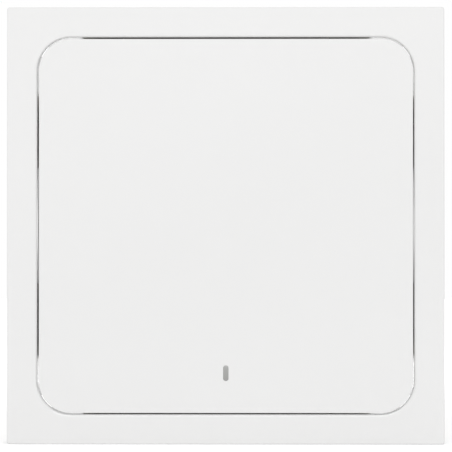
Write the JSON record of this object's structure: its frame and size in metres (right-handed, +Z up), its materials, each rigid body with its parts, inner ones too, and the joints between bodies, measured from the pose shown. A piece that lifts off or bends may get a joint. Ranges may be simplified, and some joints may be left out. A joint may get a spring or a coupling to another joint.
{
  "type": "wireless remote wall switch",
  "caption": "Square battery-powered wall switch: a cover frame round one large sprung rocker with a slim indicator light, on a screwed wall base.",
  "frame": {"origin": "centre of the flat wall face of the base", "axes": "+Y into the wall, the front faces -Y, +X to the right seen from the front, +Z up"},
  "size_m": [0.08, 0.0155, 0.08],
  "materials": {
    "white_plastic": "moulded, semi-gloss white",
    "lens_plastic": "translucent light guide",
    "inner_plastic": "moulded, matt off-white",
    "pad_rubber": "soft, matt",
    "spring_steel": "bright rolled strip",
    "screw_steel": "zinc plated",
    "board_laminate": "solder-mask green",
    "cell_steel": "nickel plated",
    "black_plastic": "moulded black",
    "contact_metal": "tinned strip",
    "led_plastic": "clear over phosphor",
    "chip_plastic": "moulded epoxy",
    "capacitor_aluminium": "drawn can",
    "chip_ceramic": "fired ceramic",
    "stem_plastic": "moulded stem"
  },
  "bodies": {
    "base": {"cover_frame": "white_plastic", "pivot_carrier": "inner_plastic", "wall_base": "inner_plastic", "stop_pads": "pad_rubber", "centring_spring": "spring_steel", "carrier_screws": "screw_steel", "board_screws": "screw_steel", "circuit_board": "board_laminate", "coin_cell": "cell_steel", "cell_holder": "black_plastic", "cell_clip": "contact_metal", "cell_lower_contact": "contact_metal", "status_led": "led_plastic", "antenna_strip": "contact_metal", "controller_chip": "chip_plastic", "radio_chip": "chip_plastic", "resonator_can": "cell_steel", "reservoir_capacitor": "capacitor_aluminium", "chip_resistors": "chip_ceramic", "chip_capacitors": "chip_ceramic", "upper_switch_base": "black_plastic", "upper_switch_cover": "contact_metal", "upper_switch_dome": "spring_steel", "upper_switch_terminals": "contact_metal", "lower_switch_base": "black_plastic", "lower_switch_cover": "contact_metal", "lower_switch_dome": "spring_steel", "lower_switch_terminals": "contact_metal"},
    "rocker": {"rocker": "white_plastic", "indicator_lens": "lens_plastic"},
    "upper_plunger": {"upper_switch_plunger": "stem_plastic"},
    "lower_plunger": {"lower_switch_plunger": "stem_plastic"}
  },
  "joints": [
    {"name": "rocker_tilt", "type": "hinge", "parent": "base", "child": "rocker", "pos_m": [0, -0.0103, 0], "axis": [1, 0, 0], "range_deg": [-2.2, 2.2], "stiffness_Nm_per_rad": 1.8, "deforming": ["centring_spring"]},
    {"name": "upper_plunger_press", "type": "slide", "parent": "base", "child": "upper_plunger", "axis": [0, 1, 0], "range_m": [0, 0.00025], "stiffness_N_per_m": 6400, "deforming": ["upper_switch_dome"]},
    {"name": "lower_plunger_press", "type": "slide", "parent": "base", "child": "lower_plunger", "axis": [0, 1, 0], "range_m": [0, 0.00025], "stiffness_N_per_m": 6400, "deforming": ["lower_switch_dome"]}
  ]
}
